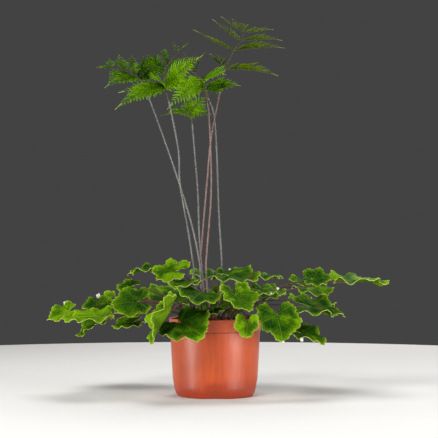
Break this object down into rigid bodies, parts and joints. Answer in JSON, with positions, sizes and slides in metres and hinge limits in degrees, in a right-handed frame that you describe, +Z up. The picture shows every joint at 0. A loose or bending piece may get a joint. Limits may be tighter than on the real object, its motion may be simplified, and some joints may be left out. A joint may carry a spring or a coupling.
{
  "type": "potted antenna fern",
  "caption": "Fern in a round nursery pot: thin hairy stalks hold divided fronds high over a low spreading skirt of lobed leaves.",
  "frame": {"origin": "middle of the pot's flat underside", "axes": "+Z up along the pot's axis; -Y towards the side that the picture shows; +X to its right"},
  "size_m": [0.4836, 0.2924, 0.5264],
  "materials": {
    "terracotta_plastic": "satin moulded plastic",
    "potting_mix": "rough crumbly peat",
    "rhizome_scales": "brown papery scales",
    "hairy_stalk": "matte, with pale hairs",
    "fresh_frond": "soft satin leaf",
    "olive_frond": "soft satin leaf",
    "lobed_leaf": "satin leaf with a pale edge"
  },
  "bodies": {
    "root": {"pot": "terracotta_plastic", "potting_mix": "potting_mix", "rhizome": "rhizome_scales", "frond_1_stalk": "hairy_stalk", "frond_1_blade": "fresh_frond", "frond_2_stalk": "hairy_stalk", "frond_2_blade": "fresh_frond", "frond_3_stalk": "hairy_stalk", "frond_3_blade": "fresh_frond", "frond_4_stalk": "hairy_stalk", "frond_4_blade": "olive_frond", "frond_5_stalk": "hairy_stalk", "frond_5_blade": "fresh_frond", "frond_6_stalk": "hairy_stalk", "frond_6_blade": "olive_frond", "leaf_01": "lobed_leaf", "leaf_02": "lobed_leaf", "leaf_03": "lobed_leaf", "leaf_04": "lobed_leaf", "leaf_05": "lobed_leaf", "leaf_06": "lobed_leaf", "leaf_07": "lobed_leaf", "leaf_08": "lobed_leaf", "leaf_09": "lobed_leaf", "leaf_10": "lobed_leaf", "leaf_11": "lobed_leaf", "leaf_12": "lobed_leaf", "leaf_13": "lobed_leaf", "leaf_14": "lobed_leaf", "leaf_15": "lobed_leaf", "leaf_16": "lobed_leaf", "leaf_17": "lobed_leaf", "leaf_18": "lobed_leaf", "leaf_19": "lobed_leaf", "leaf_20": "lobed_leaf", "leaf_21": "lobed_leaf", "leaf_22": "lobed_leaf", "leaf_23": "lobed_leaf", "leaf_24": "lobed_leaf", "leaf_25": "lobed_leaf", "leaf_26": "lobed_leaf", "leaf_27": "lobed_leaf", "leaf_28": "lobed_leaf", "leaf_29": "lobed_leaf", "leaf_30": "lobed_leaf", "leaf_31": "lobed_leaf", "leaf_32": "lobed_leaf", "leaf_33": "lobed_leaf"}
  },
  "joints": []
}
